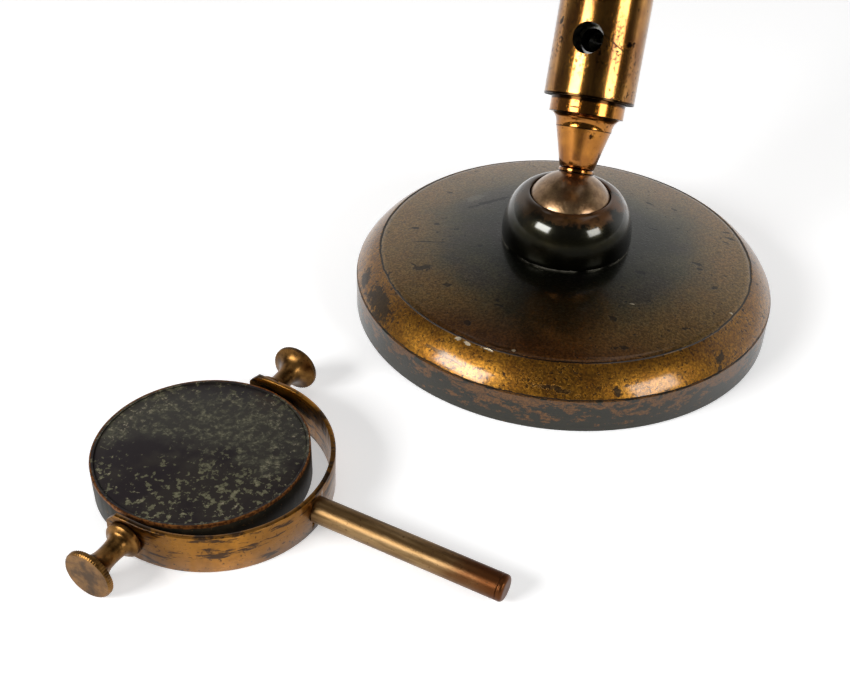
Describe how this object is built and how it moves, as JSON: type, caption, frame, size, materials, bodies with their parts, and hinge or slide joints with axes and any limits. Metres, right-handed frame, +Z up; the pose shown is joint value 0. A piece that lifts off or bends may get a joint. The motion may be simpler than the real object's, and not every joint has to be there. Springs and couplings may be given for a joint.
{
  "type": "compound microscope",
  "caption": "Brass compound microscope on a round foot: leaning pillar on a ball joint, stage with wheel of stops, rack focus, and a plug-in mirror lying beside it.",
  "frame": {"origin": "centre of the foot's underside, on the table", "axes": "+Z is up; -Y is the front, the side the stage reaches towards; the pillar leans towards +Y; the mirror lies at -X, -Y"},
  "size_m": [0.1534, 0.2537, 0.3111],
  "materials": {
    "bright_brass": "lacquered and worn",
    "aged_brass": "aged",
    "dark_bronze": "dark bronzed",
    "worn_bronze": "worn bronze",
    "iron": "black",
    "steel": "satin",
    "blued_steel": "blackened",
    "clear_glass": "polished",
    "dull_mirror": "silvering decayed"
  },
  "bodies": {
    "foot": {"foot_shell": "aged_brass", "foot_weight": "iron", "foot_plate": "aged_brass", "foot_plate_screws": "steel", "ball_socket": "dark_bronze", "seat_spring": "steel", "seat_screw": "aged_brass"},
    "ball_seat": {"ball_seat": "worn_bronze"},
    "ball": {"ball": "worn_bronze"},
    "stand": {"pillar_neck": "bright_brass", "pillar_sleeve": "bright_brass", "stage_flange": "bright_brass", "stage_plate": "blued_steel", "wheel_screw": "steel", "guide_post": "bright_brass", "column_screws": "steel", "fine_spring": "steel"},
    "wheel": {"wheel_of_stops": "aged_brass"},
    "clip_left": {"stage_clip_left": "blued_steel"},
    "clip_right": {"stage_clip_right": "blued_steel"},
    "limb": {"arm": "bright_brass", "barrel_cap": "bright_brass", "body_jacket": "bright_brass", "pad_screws": "steel", "pinion_bush": "aged_brass"},
    "fine_adjuster": {"fine_screw": "steel", "fine_head": "bright_brass"},
    "pinion": {"pinion_shaft": "steel", "milled_head_left": "bright_brass", "milled_head_right": "bright_brass"},
    "body": {"body_tube": "bright_brass", "rack": "aged_brass", "tube_collar": "bright_brass", "tube_bush": "aged_brass", "nosepiece": "bright_brass", "objective_barrel": "bright_brass", "objective_front": "bright_brass", "objective_back_lens": "clear_glass", "objective_front_lens": "clear_glass"},
    "draw": {"draw_tube": "bright_brass"},
    "eyepiece": {"eyepiece_tube": "bright_brass", "eyepiece_cap": "bright_brass", "eye_lens": "clear_glass", "field_lens": "clear_glass", "field_stop": "iron"},
    "fork": {"mirror_fork": "bright_brass", "mirror_stem": "aged_brass"},
    "pivot_front": {"pivot_screw_front": "aged_brass"},
    "pivot_rear": {"pivot_screw_rear": "aged_brass"},
    "mirror": {"mirror_cell": "dark_bronze", "mirror_flat_glass": "dull_mirror", "mirror_hollow_glass": "dull_mirror"}
  },
  "joints": [
    {"name": "seat_turn", "type": "hinge", "parent": "foot", "child": "ball_seat", "pos_m": [0, 0, 0.0289], "axis": [0, 0, 1], "continuous": true},
    {"name": "pillar_lean", "type": "hinge", "parent": "ball_seat", "child": "ball", "pos_m": [0, 0, 0.0289], "axis": [-1, 0, 0], "range_deg": [-28.5, 4]},
    {"name": "pillar_turn", "type": "hinge", "parent": "ball", "child": "stand", "pos_m": [0, 0, 0.0289], "axis": [0, 0.4772, 0.8788], "continuous": true},
    {"name": "wheel_turn", "type": "hinge", "parent": "stand", "child": "wheel", "pos_m": [0.01179, -0.03066, 0.14475], "axis": [0, 0.4772, 0.8788], "continuous": true},
    {"name": "clip_left_swing", "type": "hinge", "parent": "stand", "child": "clip_left", "pos_m": [-0.03806, 0.00281, 0.13204], "axis": [0, 0.4772, 0.8788], "range_deg": [-70, 20]},
    {"name": "clip_right_swing", "type": "hinge", "parent": "stand", "child": "clip_right", "pos_m": [0.02331, -0.00497, 0.13626], "axis": [0, 0.4772, 0.8788], "range_deg": [-20, 70]},
    {"name": "fine_slide", "type": "slide", "parent": "stand", "child": "limb", "axis": [0, 0.4772, 0.8788], "range_m": [-0.0008, 0.0008]},
    {"name": "fine_turn", "type": "hinge", "parent": "limb", "child": "fine_adjuster", "pos_m": [0, 0.0897, 0.1941], "axis": [0, 0.4772, 0.8788], "range_deg": [-722, 722]},
    {"name": "coarse_slide", "type": "slide", "parent": "limb", "child": "body", "axis": [0, 0.4772, 0.8788], "range_m": [-0.008, 0.03]},
    {"name": "pinion_turn", "type": "hinge", "parent": "limb", "child": "pinion", "pos_m": [-0.00816, 0.03422, 0.21057], "axis": [0.9898, -0.1253, 0.0681], "range_deg": [-415, 115]},
    {"name": "draw_slide", "type": "slide", "parent": "body", "child": "draw", "axis": [0, 0.4772, 0.8788], "range_m": [-0.01, 0.04]},
    {"name": "eyepiece_lift", "type": "slide", "parent": "draw", "child": "eyepiece", "axis": [0, 0.4772, 0.8788], "range_m": [0, 0.042]},
    {"name": "mirror_lift", "type": "slide", "parent": "foot", "child": "fork", "axis": [0, 0, 1], "range_m": [0, 0.03]},
    {"name": "mirror_tip", "type": "hinge", "parent": "fork", "child": "mirror", "pos_m": [-0.067, -0.1036, 0.0062], "axis": [0.1908, 0.9816, 0], "continuous": true},
    {"name": "pivot_front_turn", "type": "hinge", "parent": "fork", "child": "pivot_front", "pos_m": [-0.07257, -0.13226, 0.0062], "axis": [-0.1908, -0.9816, 0], "range_deg": [-360, 360]},
    {"name": "pivot_rear_turn", "type": "hinge", "parent": "fork", "child": "pivot_rear", "pos_m": [-0.06143, -0.07494, 0.0062], "axis": [0.1908, 0.9816, 0], "range_deg": [-360, 360]}
  ],
  "couplings": [
    {"joint": "fine_turn", "follows": "fine_slide", "rad_per_m": 15708},
    {"joint": "pinion_turn", "follows": "coarse_slide", "rad_per_m": -238.1}
  ]
}
